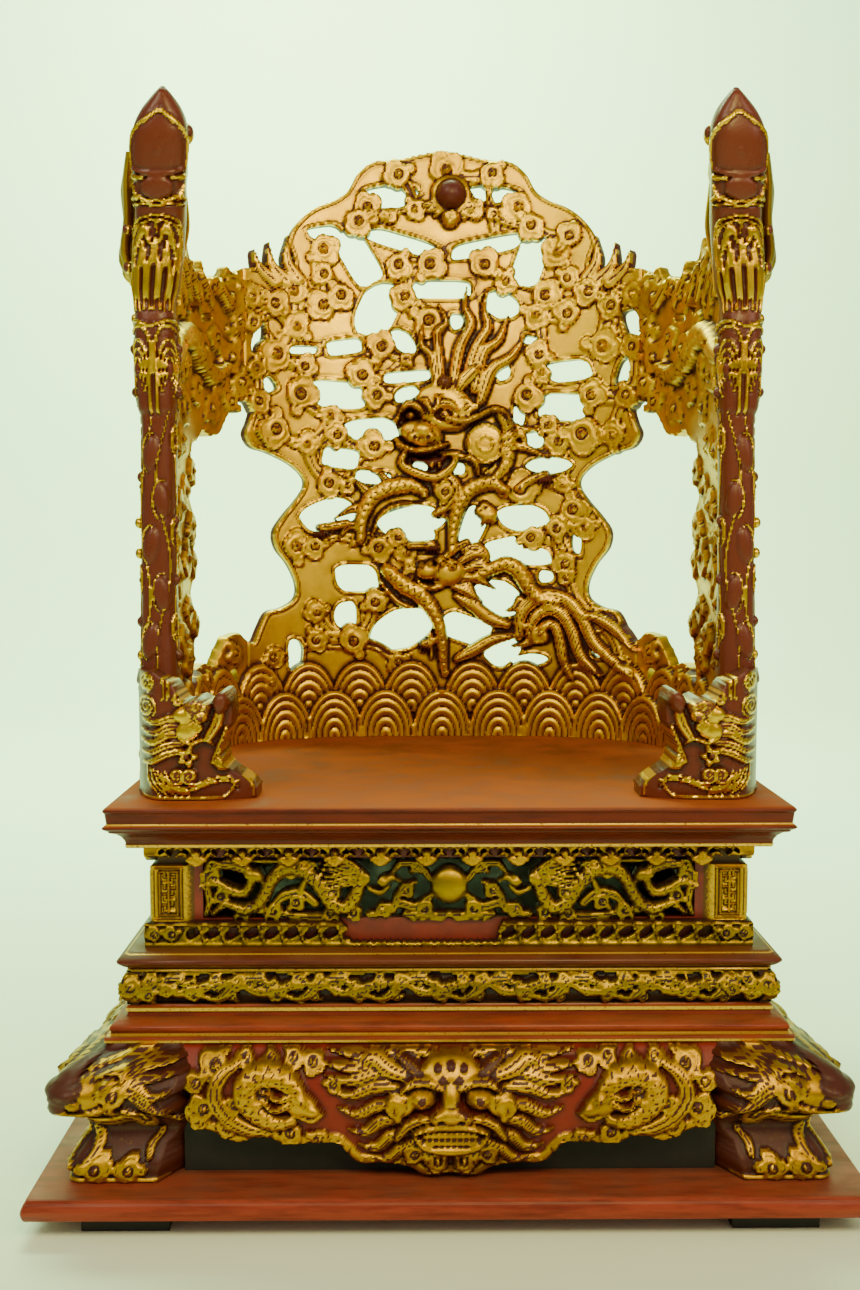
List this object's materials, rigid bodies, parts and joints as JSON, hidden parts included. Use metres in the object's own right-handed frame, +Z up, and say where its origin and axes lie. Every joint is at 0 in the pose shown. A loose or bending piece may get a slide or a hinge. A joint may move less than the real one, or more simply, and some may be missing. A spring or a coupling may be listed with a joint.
{
  "type": "altar throne",
  "caption": "Carved, lacquered and gilded wooden altar throne with a curved openwork screen, dragon-headed arm posts and a stepped, moulded base.",
  "frame": {"origin": "middle of the footprint, on the floor", "axes": "+Z up, -Y towards the front, +X to the right of someone who faces the throne"},
  "size_m": [0.84, 0.69, 1.203],
  "materials": {
    "red_lacquer": "worn red lacquer over carved wood",
    "dark_wood": "dull black-brown paint on wood",
    "seat_lacquer": "orange-brown lacquer, rubbed",
    "gilding": "worn gold leaf over maroon lacquer on carved wood",
    "maroon_lacquer": "glossy maroon lacquer with gilded lines"
  },
  "bodies": {
    "root": {"plinth_board": "red_lacquer", "plinth_foot_front_left": "dark_wood", "plinth_foot_front_right": "dark_wood", "plinth_foot_back_left": "dark_wood", "plinth_foot_back_right": "dark_wood", "leg_front_left": "gilding", "leg_front_right": "gilding", "leg_back_left": "gilding", "leg_back_right": "gilding", "apron_front": "gilding", "apron_back": "gilding", "apron_left": "gilding", "apron_right": "gilding", "riser_front": "dark_wood", "riser_back": "dark_wood", "riser_left": "dark_wood", "riser_right": "dark_wood", "lower_moulding": "red_lacquer", "scroll_band_front": "gilding", "scroll_band_back": "gilding", "scroll_band_left": "gilding", "scroll_band_right": "gilding", "middle_moulding": "red_lacquer", "waist_post_front_left": "gilding", "waist_post_front_right": "gilding", "waist_post_back_left": "gilding", "waist_post_back_right": "gilding", "waist_frame_front": "red_lacquer", "waist_frame_back": "red_lacquer", "waist_frame_left": "red_lacquer", "waist_frame_right": "red_lacquer", "waist_panel_front": "gilding", "waist_panel_back": "gilding", "waist_panel_left": "gilding", "waist_panel_right": "gilding", "valance_front": "gilding", "valance_back": "gilding", "valance_left": "gilding", "valance_right": "gilding", "lower_rail_front": "gilding", "lower_rail_back": "gilding", "lower_rail_left": "gilding", "lower_rail_right": "gilding", "seat_board": "seat_lacquer", "back_screen": "gilding", "arm_left": "gilding", "arm_right": "gilding", "post_left": "maroon_lacquer", "post_right": "maroon_lacquer"}
  },
  "joints": []
}
